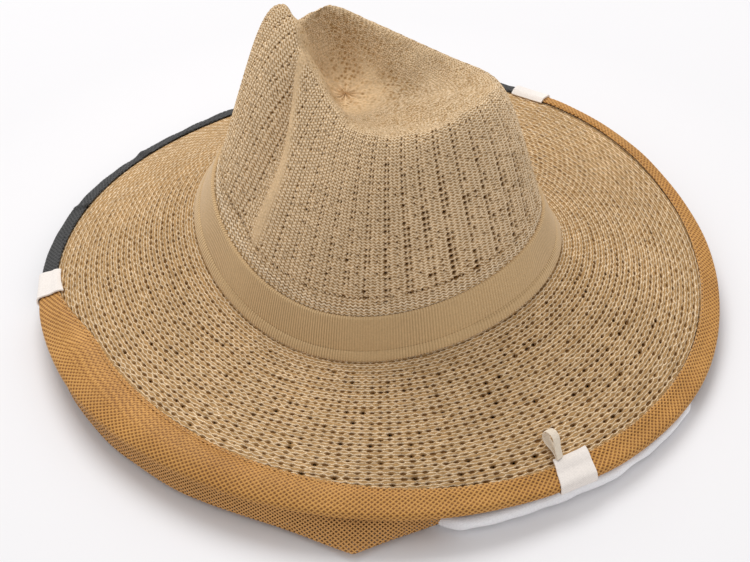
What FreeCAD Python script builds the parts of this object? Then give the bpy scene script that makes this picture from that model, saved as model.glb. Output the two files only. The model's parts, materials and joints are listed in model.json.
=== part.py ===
import FreeCAD, Part
import math
import os

# Beekeeping veil: a knitted wide-brim hat whose netting veil is folded up under the brim.
# Millimetres.  +Z is up, the crown's pinched front looks toward -Y, the wearer's left is +X.
# While it is built, the hoop's centre stands over (0, 0) and the table is at Z = 0.

# ---- driving dimensions -------------------------------------------------------------------
HOOP_RADIUS = 186.0          # centre line of the spring wire in the brim's edge
EDGE_RADIUS = 190.0          # outside of the netting hem over the wire
EDGE_LEVEL = 16.5            # mean height of the wire above the table
SIDE_LIFT = 6.1              # how far the brim's sides curl up and its front and back dip
SIDE_LIFT_AT = -6.0          # degrees
EDGE_WAVE = 2.1              # slack wave, three round the hoop
EDGE_WAVE_AT = -73.0         # degrees
SQUEEZE_BACK = 4.0           # how far the springy hoop is pushed in from a circle
SQUEEZE_RIGHT = 1.5

KNIT_THICKNESS = 2.2
BRIM_BOW = 2.0               # how far the brim arches between crown and hoop
BRIM_END = 183.4             # the knitted brim stops just inside the wire

CROWN_BASE = (5.7, 0.9, 84.0, 100.0)      # centre x, y and half width, half length
BAND_TOP = (7.5, 2.4, 75.7, 91.0)         # the same, at the hatband's upper edge
BASE_LEVEL = 31.8            # mean height of the crown's base above the wire
BASE_SADDLE = 12.2           # the base is high at front and back, low at the sides
BASE_SADDLE_AT = 92.0        # degrees
BASE_TILT = 3.9
BASE_TILT_AT = -149.0        # degrees
BAND_HEIGHT = 22.8

# Ridge round the crown's dented top: degrees round the hat, then x, y and height above the wire.
CROWN_RIDGE = [
    (-87, 2, -59, 160), (-72, 11, -50, 159), (-57, 16, -37, 149.5), (-40, 21, -25, 139),
    (-21, 29, -13, 131), (0, 38, 3, 126.5), (25, 41, 23, 128), (48, 34, 42, 132.5),
    (68, 18, 56, 137), (88, -4, 61, 138), (108, -23, 55, 132), (130, -36, 42, 127),
    (154, -42, 22, 125), (182, -42, 0, 129), (210, -38, -25, 137), (231, -30, -44, 147),
    (248, -19, -51, 146), (261, -8, -56, 150),
]
DENT_CENTRE = (-3.0, -21.0, 113.0)        # where the knitting starts, at the dent's bottom
DENT_START_RADIUS = 3.0
RIDGE_SHOULDER = 9.0         # half width of the rounded ridge
# Rows of the crown's faces: -1 base, 0 band's top, 1 ridge, 2 dent's bottom.
CROWN_ROWS = [-1, 0, 0.2, 0.4, 0.6, 0.75, 0.87, 0.95, 1, 1.06, 1.15, 1.3, 1.5, 1.75, 2]
# Pinch grooves: degrees at the band, degrees at the ridge, half width in degrees, depth.
PINCHES = [(-40, -62, 8, 6.5), (-29, -51, 8, -2.0), (218, 240, 9, 5.0)]

BAND_THICKNESS = 1.4
BAND_LIP = 3.3               # how far the band's flared lower lip stands out
SWEATBAND_THICKNESS = 1.3
SWEATBAND_GAP = 0.7
FIT_GAP = 0.15               # between layers that lie on each other

WIRE_RADIUS = 1.2
FERRULE_LENGTH = 24.0
FERRULE_WALL = 0.5
FERRULE_GAP = 0.05
WIRE_ROOM = WIRE_RADIUS + FERRULE_GAP + FERRULE_WALL + 0.15    # half the hem's inside height

HEM_WIDTH = 11.5
HEM_WIDER = 15.0             # the left panel's hem is this much wider at its widest
HEM_PUFF = 1.2
HEM_SKIN = 0.9               # netting thickness where it lies on the brim
TAB_ANGLES = {"tab_front_left": -58.5, "tab_back_left": 59.6, "tab_right": 177.0}
TAB_WIDTH = 22.0
TAB_MARGIN = 2.2             # how far each tab runs in past the hem's inner edge
TAB_THICKNESS = 1.1

LOOP_ANGLE = 58.2            # the loop is sewn in a little to one side of its tab's middle
LOOP_LEG = 9.5
LOOP_RADIUS = 4.0            # middle of the ribbon round the bend
LOOP_FOOT = 0.65             # half the distance between the ribbon's middles at the sewn end
LOOP_TWIST = -80.0           # degrees the loop turns about its own length
LOOP_YAW = 3.0               # degrees it leans toward the front of the hat
RIBBON_THICKNESS = 0.9
RIBBON_WIDTH = 5.0
LOOP_TILT = 43.0             # degrees above level, leaning in toward the crown
LOOP_PIVOT_LIFT = 2.8        # pivot above the brim's upper face
LOOP_CLEARANCE = 0.9         # from the pivot to the ribbon's ends, and from pivot to tab

SKIRT_INNER = 118.0
SKIRT_OUTER = 175.0
SKIRT_STANDS_OUT = 14.5      # further out where it shows
SKIRT_THICKNESS = 3.0
ELASTIC_WIDTH = 6.0
ELASTIC_THICKNESS = 1.0
ELASTIC_GAP = 0.1
SKIRT_SHOWS = (36.0, 94.0)   # degrees; here the skirt shows below the hem
SKIRT_BLEND = 8.0
ROLL_HEIGHT = 6.5            # the skirt's rolled edge above its flat cloth
ROLL_CLEARANCE = 1.2         # from the roll up to the hem
VEIL_INNER = 122.0
VEIL_OUTER = 187.5
VEIL_CORNER = 13.5           # one corner of the folded netting sticks out
VEIL_CORNER_SPAN = (-10.0, 24.0, 36.0)    # degrees: its start, tip and end
VEIL_BEHIND_SKIRT = 172.5
STACK_GAP = 0.4              # veil to skirt and veil to hem

STATIONS = 72                # points round a full turn of the hat


# ---- heights and radii round the hat ------------------------------------------------------
def cosine(degrees):
    return math.cos(math.radians(degrees))


def sine(degrees):
    return math.sin(math.radians(degrees))


def rise(angle, start, end):
    """0 before the start angle, 1 after the end angle, smooth between them."""
    part = min(max((angle - start) / (end - start), 0.0), 1.0)
    return part * part * (3 - 2 * part)


def bump(angle, middle, half_width):
    """1 at the middle angle, falling smoothly to 0 at about twice the half width."""
    turn = (angle - middle + 180.0) % 360.0 - 180.0
    return math.exp(-(turn / half_width) ** 2)


def edge_height(angle):
    lift = SIDE_LIFT * cosine(2 * (angle - SIDE_LIFT_AT))
    return EDGE_LEVEL + lift + EDGE_WAVE * cosine(3 * (angle - EDGE_WAVE_AT))


def base_height(angle):
    saddle = BASE_SADDLE * cosine(2 * (angle - BASE_SADDLE_AT))
    return EDGE_LEVEL + BASE_LEVEL + saddle + BASE_TILT * cosine(angle - BASE_TILT_AT)


def oval_radius(oval, angle, grow=0.0):
    """Distance from the hat's centre to an oval, along one direction."""
    x, y, half_width, half_length = oval
    across = half_width + grow
    along = half_length + grow
    c, s = cosine(angle), sine(angle)
    a = (c / across) ** 2 + (s / along) ** 2
    b = -2 * (c * x / across ** 2 + s * y / along ** 2)
    d = (x / across) ** 2 + (y / along) ** 2 - 1
    return (-b + math.sqrt(b * b - 4 * a * d)) / (2 * a)


def brim_height(angle, radius):
    """Middle of the knitted brim's thickness."""
    inner = oval_radius(CROWN_BASE, angle)
    part = max(0.0, (radius - inner) / (HOOP_RADIUS - inner))
    inner_height = base_height(angle) - KNIT_THICKNESS / 2
    level = inner_height + (edge_height(angle) - inner_height) * part
    return level + BRIM_BOW * 4 * part * (1 - min(part, 1.0))


def brim_top(angle, radius):
    return brim_height(angle, radius) + KNIT_THICKNESS / 2


def brim_under(angle, radius):
    return brim_height(angle, radius) - KNIT_THICKNESS / 2


def hem_width(angle):
    turn = (angle + 180.0) % 360.0 - 180.0
    wider = rise(turn, -62, -36) * rise(-turn, -60, 25)
    return HEM_WIDTH + HEM_WIDER * wider - 2.5 * bump(angle, 155, 35)


def hoop_squeeze(angle):
    return SQUEEZE_BACK * bump(angle, 150, 32) + SQUEEZE_RIGHT * bump(angle, 235, 40)


def hem_puff(angle):
    return HEM_PUFF + 1.8 * bump(angle, -10, 40)


# ---- the crown's surface ------------------------------------------------------------------
def ridge_point(angle):
    """Point on the ridge, by cubic pieces through its control points."""
    count = len(CROWN_RIDGE)
    angle = (angle + 87.0) % 360.0 - 87.0
    i = max(k for k in range(count) if CROWN_RIDGE[k][0] <= angle)

    def control(k):
        turns, k = divmod(k, count)
        point = CROWN_RIDGE[k]
        return point[0] + 360.0 * turns, FreeCAD.Vector(*point[1:])

    (a0, p0), (a1, p1), (a2, p2), (a3, p3) = (control(i + k) for k in (-1, 0, 1, 2))
    span = a2 - a1
    slope1 = (p2 - p0) * (span / (a2 - a0))
    slope2 = (p3 - p1) * (span / (a3 - a1))
    t = (angle - a1) / span
    point = p1 * (2 * t ** 3 - 3 * t ** 2 + 1) + slope1 * (t ** 3 - 2 * t ** 2 + t)
    return point + p2 * (3 * t ** 2 - 2 * t ** 3) + slope2 * (t ** 3 - t ** 2)


def bezier(p0, p1, p2, p3, t):
    u = 1 - t
    return p0 * u ** 3 + p1 * (3 * u * u * t) + p2 * (3 * u * t * t) + p3 * t ** 3


def polar(radius, angle, height):
    return FreeCAD.Vector(radius * cosine(angle), radius * sine(angle), height)


def ring_point(radius, angle, height):
    """Point of a ring piece; the hoop's squeeze fades out toward the crown."""
    return polar(radius - hoop_squeeze(angle) * rise(radius, 130, 178), angle, height)


def pinch_depth(angle, row):
    """Depth of the pinch grooves; row runs from 0 at the band to 1 at the ridge."""
    slide = min(max((row - 0.35) / 0.65, 0.0), 1.0)
    slide = slide * slide * (3 - 2 * slide)
    depth = 0.0
    for at_band, at_ridge, half_width, full in PINCHES:
        middle = at_band + (at_ridge - at_band) * slide
        depth += full * bump(angle, middle, half_width)
    return depth * math.sin(math.pi * row ** 0.7) ** 0.8 if 0 < row < 1 else 0.0


def crown_point(angle, row):
    """Outer face: row -1 at the base, 0 at the band's top, 1 on the ridge, 2 in the dent."""
    base = polar(oval_radius(CROWN_BASE, angle), angle, base_height(angle))
    top = polar(oval_radius(BAND_TOP, angle), angle, base_height(angle) + BAND_HEIGHT)
    if row <= 0:
        return top + (base - top) * -row
    ridge = ridge_point(angle) + FreeCAD.Vector(0, 0, EDGE_LEVEL)
    middle_x = min(max(ridge.x * 0.15, -6.0), 6.0)
    middle_y = min(max(ridge.y * 0.72, -36.0), 44.0)
    inward = FreeCAD.Vector(middle_x - ridge.x, middle_y - ridge.y, 0)
    inward.normalize()
    if row <= 1:
        shoulder = ridge - inward * RIDGE_SHOULDER
        belly = top * 0.5 + shoulder * 0.5
        point = bezier(top, belly, shoulder, ridge, row)
        return point - polar(pinch_depth(angle, row), angle, 0)
    centre = FreeCAD.Vector(*DENT_CENTRE) + FreeCAD.Vector(0, 0, EDGE_LEVEL)
    start = centre + polar(DENT_START_RADIUS, angle, 0)
    floor = centre + (FreeCAD.Vector(ridge.x, ridge.y, centre.z) - centre) * 0.42
    return bezier(ridge, ridge + inward * RIDGE_SHOULDER, floor, start, row - 1)


def crown_inner_point(angle, row):
    """The same face, one knit thickness further in."""
    if row <= -1 or row >= 2:
        shift = KNIT_THICKNESS
        if row <= -1:
            return polar(oval_radius(CROWN_BASE, angle, -shift), angle, base_height(angle))
        return crown_point(angle, row) - FreeCAD.Vector(0, 0, shift)
    step = 0.02
    round_way = crown_point(angle + 1.0, row) - crown_point(angle - 1.0, row)
    up_way = crown_point(angle, row + step) - crown_point(angle, row - step)
    outward = round_way.cross(up_way)
    outward.normalize()
    return crown_point(angle, row) - outward * KNIT_THICKNESS


# ---- solids from curves -------------------------------------------------------------------
def closed_curve(points):
    curve = Part.BSplineCurve()
    curve.interpolate(Points=points, PeriodicFlag=True)
    return curve.toShape()


def open_curve(points):
    curve = Part.BSplineCurve()
    curve.interpolate(Points=points)
    return curve.toShape()


def solid_from(faces):
    skin = Part.Compound(faces)
    skin.sewShape()
    shell = skin.Shells[0]
    if Part.Solid(shell).Volume < 0:
        shell.reverse()
    return Part.Solid(shell)


def band_between(curve, other):
    """Straight-ruled strip; the 1 keeps both curves running the same way."""
    return Part.makeRuledSurface(curve, other, 1)


def is_level(curves):
    heights = [v for curve in curves for v in (curve.BoundBox.ZMin, curve.BoundBox.ZMax)]
    return max(heights) - min(heights) < 1e-4


def ring_between(curve, other):
    """Strip between two closed curves: one true plane where both lie level."""
    if is_level([curve, other]):
        return Part.makeFace([Part.Wire(curve), Part.Wire(other)], "Part::FaceMakerBullseye")
    return band_between(curve, other)


def ring_angles():
    return [360.0 * i / STATIONS for i in range(STATIONS)]


def ring_solid(section):
    """A full ring whose section(angle) lists (radius, height) corners in order."""
    sections = [[ring_point(r, a, z) for r, z in section(a)] for a in ring_angles()]
    corners = len(sections[0])
    curves = [closed_curve([s[k] for s in sections]) for k in range(corners)]
    faces = [ring_between(curves[k - 1], curves[k]) for k in range(corners)]
    return solid_from(faces)


def sector_solid(section, start, end):
    """Part of a ring between two angles, with a flat face at each end."""
    count = max(3, int((end - start) * STATIONS / 360.0) + 1)
    angles = [start + (end - start) * i / (count - 1) for i in range(count)]
    sections = [[ring_point(r, a, z) for r, z in section(a)] for a in angles]
    corners = len(sections[0])
    curves = [open_curve([s[k] for s in sections]) for k in range(corners)]
    faces = [band_between(curves[k - 1], curves[k]) for k in range(corners)]
    for points in (sections[0], sections[-1]):
        faces.append(Part.Face(Part.makePolygon(points + points[:1])))
    return solid_from(faces)


# ---- the hat ------------------------------------------------------------------------------
def make_crown():
    """Outer face, inner face, their ends in the dent and the cut edge at the base."""
    faces = []
    ends = []
    for point in (crown_point, crown_inner_point):
        curves = [closed_curve([point(a, row) for a in ring_angles()]) for row in CROWN_ROWS]
        faces += [band_between(c, d) for c, d in zip(curves, curves[1:])]
        faces.append(Part.Face(Part.Wire(curves[-1])))
        ends.append(curves[0])
    faces.append(band_between(ends[0], ends[1]))
    return solid_from(faces)


def make_brim():
    steps = 6

    def section(angle):
        inner = oval_radius(CROWN_BASE, angle, -KNIT_THICKNESS)
        foot = oval_radius(CROWN_BASE, angle)
        radii = [inner] + [foot + (BRIM_END - foot) * i / steps for i in range(steps + 1)]
        upper = [(r, brim_top(angle, r)) for r in radii]
        return upper + [(r, brim_under(angle, r)) for r in reversed(radii)]

    return ring_solid(section)


def wall_radius(angle, up, out):
    """Radius on the straight wall behind the hatband, moved out by a small amount."""
    part = up / BAND_HEIGHT
    low = oval_radius(CROWN_BASE, angle, out)
    high = oval_radius(BAND_TOP, angle, out)
    return low + (high - low) * part


def wall_section(outline):
    def section(angle):
        return [(wall_radius(angle, up, out), base_height(angle) + up) for out, up in outline]

    return section


def make_hatband():
    lip_up = 4.6
    low = 0.3
    top = BAND_HEIGHT + 0.4
    skin = FIT_GAP + BAND_THICKNESS
    outline = [(FIT_GAP, low), (BAND_LIP, low), (BAND_LIP - 0.2, lip_up - 1.6), (skin, lip_up)]
    return ring_solid(wall_section(outline + [(skin, top), (FIT_GAP, top)]))


def make_sweatband():
    near = -KNIT_THICKNESS - SWEATBAND_GAP
    far = near - SWEATBAND_THICKNESS
    foot = -KNIT_THICKNESS
    return ring_solid(wall_section([(far, foot), (near, foot), (near, BAND_HEIGHT), (far, BAND_HEIGHT)]))


def round_section(radius, corners=12):
    def section(angle):
        spots = [360.0 * k / corners for k in range(corners)]
        height = edge_height(angle)
        return [(HOOP_RADIUS + radius * cosine(s), height + radius * sine(s)) for s in spots]

    return section


def make_hoop():
    joint = TAB_ANGLES["tab_back_left"]
    half_gap = 0.1
    return sector_solid(round_section(WIRE_RADIUS), joint + half_gap, joint + 360.0 - half_gap)


def make_ferrule():
    inner = round_section(WIRE_RADIUS + FERRULE_GAP)
    outer = round_section(WIRE_RADIUS + FERRULE_GAP + FERRULE_WALL)
    middle = TAB_ANGLES["tab_back_left"]
    half = math.degrees(FERRULE_LENGTH / 2 / HOOP_RADIUS)
    sleeve = sector_solid(outer, middle - half, middle + half)
    longer = half * 1.2
    return sleeve.cut(sector_solid(inner, middle - longer, middle + longer))


# ---- netting hem round the brim's edge ----------------------------------------------------
def hem_outside(angle):
    """Outer outline of the hem, from its upper inner edge round to its lower inner edge."""
    inner = EDGE_RADIUS - hem_width(angle)
    edge = edge_height(angle)
    puff = hem_puff(angle)
    beside = HOOP_RADIUS - WIRE_ROOM - 0.4
    middle = (inner + beside) / 2
    shoulder = EDGE_RADIUS - 1.0
    return [
        (inner, brim_top(angle, inner) + HEM_SKIN),
        (middle, brim_top(angle, middle) + HEM_SKIN + 0.8 * puff),
        (beside, max(brim_top(angle, beside), edge + WIRE_ROOM) + HEM_SKIN + 0.7 * puff),
        (shoulder, edge + WIRE_ROOM + 0.3),
        (EDGE_RADIUS, edge),
        (shoulder, edge - WIRE_ROOM - 0.3),
        (beside, min(brim_under(angle, beside), edge - WIRE_ROOM) - HEM_SKIN),
        (inner, brim_under(angle, inner) - HEM_SKIN),
    ]


def hem_inside(angle):
    """Room for the brim and the wire, from the lower inner edge to the upper."""
    inner = EDGE_RADIUS - hem_width(angle)
    edge = edge_height(angle)
    left, right = HOOP_RADIUS - WIRE_ROOM, HOOP_RADIUS + WIRE_ROOM
    gap = 0.08
    foot = left - 0.2
    return [
        (inner, brim_under(angle, inner) - gap),
        (foot, brim_under(angle, foot) - gap),
        (left, edge - WIRE_ROOM), (right, edge - WIRE_ROOM),
        (right, edge + WIRE_ROOM), (left, edge + WIRE_ROOM),
        (foot, brim_top(angle, foot) + gap),
        (inner, brim_top(angle, inner) + gap),
    ]


def make_hem(start, end):
    half_gap = 0.05

    def section(angle):
        return hem_outside(angle) + hem_inside(angle)

    return sector_solid(section, start + half_gap, end - half_gap)


def make_hem_stitching():
    """Lock-stitch thread run along the hem's inner edge, under the tabs as well."""
    inset, width, lift, thickness = 1.2, 0.7, 0.02, 0.35

    def section(angle):
        line = hem_outside(angle)
        near = line[0][0] + inset
        slope = (line[1][1] - line[0][1]) / (line[1][0] - line[0][0])

        def height(radius):
            return line[0][1] + slope * (radius - line[0][0]) + lift

        far = near + width
        return [(near, height(near)), (far, height(far)),
                (far, height(far) + thickness), (near, height(near) + thickness)]

    return ring_solid(section)


# ---- white canvas tabs and the hanging loop -----------------------------------------------
def offset_outline(points, distance):
    """Move an open outline sideways, to the left of its way."""
    moved = []
    for i, (x, y) in enumerate(points):
        before = points[max(i - 1, 0)]
        after = points[min(i + 1, len(points) - 1)]
        dx, dy = after[0] - before[0], after[1] - before[1]
        length = math.hypot(dx, dy)
        moved.append((x - dy / length * distance, y + dx / length * distance))
    return moved


def tab_end(angle):
    return EDGE_RADIUS - hem_width(angle) - TAB_MARGIN


def tab_section(angle):
    end = tab_end(angle)
    outside = hem_outside(angle)
    clear = 0.55             # over the hem and its row of stitches
    line = offset_outline(outside, clear)
    line = [(end, brim_top(angle, end) + 0.1)] + line + [(end, brim_under(angle, end) - 0.1)]
    cover = offset_outline(outside, clear + TAB_THICKNESS)
    top_end = (end, brim_top(angle, end) + 0.1 + TAB_THICKNESS)
    low_end = (end, brim_under(angle, end) - 0.1 - TAB_THICKNESS)
    return [top_end] + cover + [low_end] + line[::-1]


def make_tab(middle):
    half = math.degrees(TAB_WIDTH / 2 / EDGE_RADIUS)
    return sector_solid(tab_section, middle - half, middle + half)


def loop_pivot():
    radius = tab_end(LOOP_ANGLE) - LOOP_CLEARANCE
    return ring_point(radius, LOOP_ANGLE, brim_top(LOOP_ANGLE, radius) + LOOP_PIVOT_LIFT)


def make_hanging_loop():
    """Ribbon bent into a narrow drop shape, standing on its two sewn ends."""
    drops = []
    half = RIBBON_THICKNESS / 2
    leg_end = LOOP_CLEARANCE + LOOP_LEG
    for grow in (half, -half):
        radius = LOOP_RADIUS + grow
        foot = LOOP_FOOT + grow
        left, right = FreeCAD.Vector(leg_end, -radius, 0), FreeCAD.Vector(leg_end, radius, 0)
        left_foot = FreeCAD.Vector(LOOP_CLEARANCE, -foot, 0)
        right_foot = FreeCAD.Vector(LOOP_CLEARANCE, foot, 0)
        top = FreeCAD.Vector(leg_end + radius, 0, 0)
        edges = [Part.LineSegment(left_foot, left).toShape(), Part.Arc(left, top, right).toShape()]
        edges += [Part.LineSegment(right, right_foot).toShape()]
        edges += [Part.LineSegment(right_foot, left_foot).toShape()]
        drops.append(Part.Face(Part.Wire(edges)))
    flat = drops[0].cut(drops[1])
    flat.translate(FreeCAD.Vector(0, 0, -RIBBON_WIDTH / 2))
    ribbon = flat.extrude(FreeCAD.Vector(0, 0, RIBBON_WIDTH))
    zero = FreeCAD.Vector(0, 0, 0)
    ribbon.rotate(zero, FreeCAD.Vector(1, 0, 0), LOOP_TWIST)
    ribbon.rotate(zero, FreeCAD.Vector(0, 1, 0), -LOOP_TILT)
    ribbon.rotate(zero, FreeCAD.Vector(0, 0, 1), LOOP_ANGLE + LOOP_YAW + 180.0)
    ribbon.translate(loop_pivot())
    return ribbon


# ---- folded veil and skirt under the brim -------------------------------------------------
def skirt_shows(angle):
    """1 where the skirt's cloth, not the netting, fills the gap under the hem."""
    start, end = SKIRT_SHOWS
    return rise(angle, start, start + SKIRT_BLEND) * rise(-angle, -end, SKIRT_BLEND - end)


def veil_outer(angle):
    """The folds show past the hem on the left, with one corner sticking out."""
    start, end = SKIRT_SHOWS
    spread = SKIRT_BLEND
    hidden = rise(angle, start - spread, start) * rise(-angle, -end - spread, -end)
    first, tip, last = VEIL_CORNER_SPAN
    corner = max(0.0, min((angle - first) / (tip - first), (last - angle) / (last - tip)))
    folds = VEIL_OUTER + VEIL_CORNER * corner
    return folds + (VEIL_BEHIND_SKIRT - folds) * hidden


def veil_section(angle):
    low = SKIRT_THICKNESS + STACK_GAP
    lowest_hem = min(z for r, z in hem_outside(angle))
    outer_top = max(lowest_hem - STACK_GAP - 1.6, low + 1.2)
    inner_top = brim_under(angle, VEIL_INNER) - 14.0
    inner_top = min(max(inner_top, outer_top), outer_top + 6.0)
    bend = 168.0
    return [(VEIL_INNER, low), (veil_outer(angle), low), (veil_outer(angle), outer_top),
            (bend, outer_top), (VEIL_INNER, inner_top)]


def make_veil(start, end):
    half_gap = 0.15
    return sector_solid(veil_section, start + half_gap, end - half_gap)


def skirt_outer(angle):
    return SKIRT_OUTER + (SKIRT_STANDS_OUT + 6.0 * bump(angle, 64, 9)) * skirt_shows(angle)


def skirt_section(angle):
    """Flat folded cloth, with a soft roll at its outside that stands up to the hem."""
    shows = skirt_shows(angle)
    low, high = 1.0, 1.0 + ELASTIC_THICKNESS + 2 * ELASTIC_GAP
    slot_end = SKIRT_INNER + ELASTIC_WIDTH + 2 * ELASTIC_GAP
    outer = skirt_outer(angle)
    below_hem = edge_height(angle) - WIRE_ROOM - HEM_SKIN - ROLL_CLEARANCE - SKIRT_THICKNESS
    roll = min(below_hem, ROLL_HEIGHT) * shows
    foot = outer - 3.0 - 4.5 * shows
    return [
        (SKIRT_INNER, 0), (outer - 1.0 - 8.0 * shows, 0), (outer, 1.2 + 3.0 * shows), (outer, 1.8 + roll),
        (outer - 1.2, SKIRT_THICKNESS + roll), (foot + 1.2, SKIRT_THICKNESS + roll),
        (foot, SKIRT_THICKNESS), (SKIRT_INNER, SKIRT_THICKNESS),
        (SKIRT_INNER, high), (slot_end, high), (slot_end, low), (SKIRT_INNER, low),
    ]


def make_elastic():
    inner = SKIRT_INNER + ELASTIC_GAP
    outer = inner + ELASTIC_WIDTH
    low = 1.0 + ELASTIC_GAP
    high = low + ELASTIC_THICKNESS
    return ring_solid(lambda angle: [(inner, low), (outer, low), (outer, high), (inner, high)])


# ---- put together -------------------------------------------------------------------------
def make_parts():
    left, back, right = (TAB_ANGLES[n] for n in ("tab_front_left", "tab_back_left", "tab_right"))
    parts = {
        "knit_crown": make_crown(),
        "knit_brim": make_brim(),
        "hatband": make_hatband(),
        "sweatband": make_sweatband(),
        "brim_hoop": make_hoop(),
        "hoop_ferrule": make_ferrule(),
        "hem_tan_left": make_hem(left, back),
        "hem_tan_back": make_hem(back, right),
        "hem_black": make_hem(right, left + 360.0),
        "hem_stitching": make_hem_stitching(),
        "hanging_loop": make_hanging_loop(),
        "veil_tan_left": make_veil(left, back),
        "veil_tan_back": make_veil(back, right),
        "veil_black_window": make_veil(right, left + 360.0),
        "cotton_skirt": ring_solid(skirt_section),
        "skirt_elastic": make_elastic(),
    }
    for name, angle in TAB_ANGLES.items():
        parts[name] = make_tab(angle)
    return parts


def centre_on_origin(parts):
    """Stand the middle of the whole object's box over the origin."""
    box = Part.Compound(list(parts.values())).optimalBoundingBox(True, False)
    shift = FreeCAD.Vector(-box.Center.x, -box.Center.y, -box.ZMin)
    for shape in parts.values():
        shape.translate(shift)
    return shift


def main():
    parts = make_parts()
    shift = centre_on_origin(parts)
    os.makedirs("parts", exist_ok=True)
    for name, shape in parts.items():
        shape.exportStep("parts/" + name + ".step")
    pivot = loop_pivot() + shift
    box = Part.Compound(list(parts.values())).optimalBoundingBox(True, False)
    print("moved by", [round(v, 3) for v in shift])
    print("size", round(box.XLength, 1), round(box.YLength, 1), round(box.ZLength, 1))
    print("loop pivot", [round(v, 2) for v in pivot])
    print("loop axis", round(-sine(LOOP_ANGLE), 5), round(cosine(LOOP_ANGLE), 5))
    for name, shape in parts.items():
        print(name, "valid", shape.isValid(), "solids", len(shape.Solids), "volume", round(shape.Volume, 1))


main()
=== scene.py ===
import json
import math

import bpy
import numpy as np
from mathutils import Matrix, Vector

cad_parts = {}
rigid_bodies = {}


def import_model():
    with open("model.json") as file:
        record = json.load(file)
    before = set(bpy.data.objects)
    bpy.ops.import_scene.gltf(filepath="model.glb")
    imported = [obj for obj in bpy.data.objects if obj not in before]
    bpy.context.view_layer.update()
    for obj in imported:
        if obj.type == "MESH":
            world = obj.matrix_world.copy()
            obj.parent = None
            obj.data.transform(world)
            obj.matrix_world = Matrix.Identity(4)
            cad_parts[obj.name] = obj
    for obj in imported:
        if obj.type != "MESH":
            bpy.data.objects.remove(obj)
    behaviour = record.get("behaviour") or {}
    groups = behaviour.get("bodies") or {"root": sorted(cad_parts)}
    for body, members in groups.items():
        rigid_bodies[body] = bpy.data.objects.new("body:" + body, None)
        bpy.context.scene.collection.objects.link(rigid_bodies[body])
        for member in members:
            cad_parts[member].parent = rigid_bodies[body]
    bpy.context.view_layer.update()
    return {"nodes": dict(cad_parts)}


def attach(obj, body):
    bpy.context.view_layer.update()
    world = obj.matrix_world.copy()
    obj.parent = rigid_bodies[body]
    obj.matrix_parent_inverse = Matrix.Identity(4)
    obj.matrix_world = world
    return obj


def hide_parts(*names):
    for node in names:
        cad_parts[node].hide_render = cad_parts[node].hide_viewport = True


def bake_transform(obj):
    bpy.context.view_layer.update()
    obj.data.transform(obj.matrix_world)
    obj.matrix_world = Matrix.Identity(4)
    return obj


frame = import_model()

random = np.random.default_rng(20)

# Shapes are worked out in millimetres and degrees round the hoop's centre, as in the CAD
# source, and put() turns them into metres in the row's frame.
MM, TAU = 0.001, math.tau
HOOP_TO_ROW = np.array([-1.505, -0.286, 0.0])
HOOP_RADIUS, EDGE_RADIUS, EDGE_LEVEL = 186.0, 190.0, 16.5
KNIT, BRIM_END, BRIM_BOW = 2.2, 183.4, 2.0
CROWN_BASE, BAND_TOP, BAND_HEIGHT = (5.7, 0.9, 84.0, 100.0), (7.5, 2.4, 75.7, 91.0), 22.8
BRIM_STITCHES, BRIM_ROUNDS = 186, 28
CROWN_REPEATS, CROWN_ROUNDS = 45, 32
BAND_RIBS = 400
STITCH_UV = 0.01
# Angle, x, y and height above the brim's edge. The front peak is rounder and the notch
# beside it deeper than in the CAD crown.
CROWN_RIDGE = np.array([
    (-87, 0, -55, 160.5), (-72, 8, -44, 159.5), (-57, 16, -36, 150), (-40, 21, -25, 139),
    (-21, 29, -13, 131), (0, 38, 3, 126.5), (25, 41, 23, 128), (48, 34, 42, 132.5),
    (68, 18, 56, 137), (88, -4, 61, 138), (108, -23, 55, 132), (130, -36, 42, 127),
    (154, -42, 22, 125), (182, -42, 0, 129), (210, -38, -25, 137), (231, -30, -44, 146),
    (248, -20, -50, 145), (261, -11, -52, 145)])
DENT_CENTRE = np.array([-3.0, -21.0, 113.0 + EDGE_LEVEL])
# Angle at the band, angle at the ridge, half width and depth of each fold in the wall.
PINCHES = [(-40, -62, 8, 6.5), (-29, -51, 8, -2.0), (218, 240, 9, 5.0)]
WIRE_ROOM, HEM_SKIN = 1.9, 0.9
TABS = {"front_left": -58.5, "back_left": 59.6, "right": 177.0}
TAB_WIDTH, TAB_MARGIN, TAB_THICKNESS = 22.0, 2.2, 1.1
STITCH_COUNT, STITCH_RADIUS = 330, 0.33
LEFT, BACK, RIGHT = TABS.values()
EVEN_TONE = 0.6


# ---- the hat's surfaces ----
def cosd(a):
    return np.cos(np.radians(a))


def sind(a):
    return np.sin(np.radians(a))


def smooth(t):
    t = np.clip(t, 0.0, 1.0)
    return t * t * (3 - 2 * t)


def mixed(a, b, share):
    return a * (1 - share) + b * share


def wave(turns):
    """1 at whole turns, 0 halfway between."""
    return 0.5 + 0.5 * np.cos(TAU * turns)


def peak(x, at, width):
    """1 at one place, falling off smoothly on both sides."""
    return np.exp(-((x - at) / width) ** 2)


def bump(a, middle, half_width):
    """A peak in angle."""
    return peak((a - middle + 180.0) % 360.0 - 180.0, 0, half_width)


def polar(r, a, z):
    return np.stack(np.broadcast_arrays(r * cosd(a), r * sind(a), z), -1)


def rows_of(r, a, z):
    """Points in radius, angle and height, which from_polar() turns into x, y and z."""
    return np.stack(np.broadcast_arrays(r, a, z), -1)


def from_polar(rows):
    return polar(rows[..., 0], rows[..., 1], rows[..., 2])


def edge_height(a):
    return EDGE_LEVEL + 6.1 * cosd(2 * (a + 6.0)) + 2.1 * cosd(3 * (a + 73.0))


def base_height(a):
    return EDGE_LEVEL + 31.8 + 12.2 * cosd(2 * (a - 92.0)) + 3.9 * cosd(a + 149.0)


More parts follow.
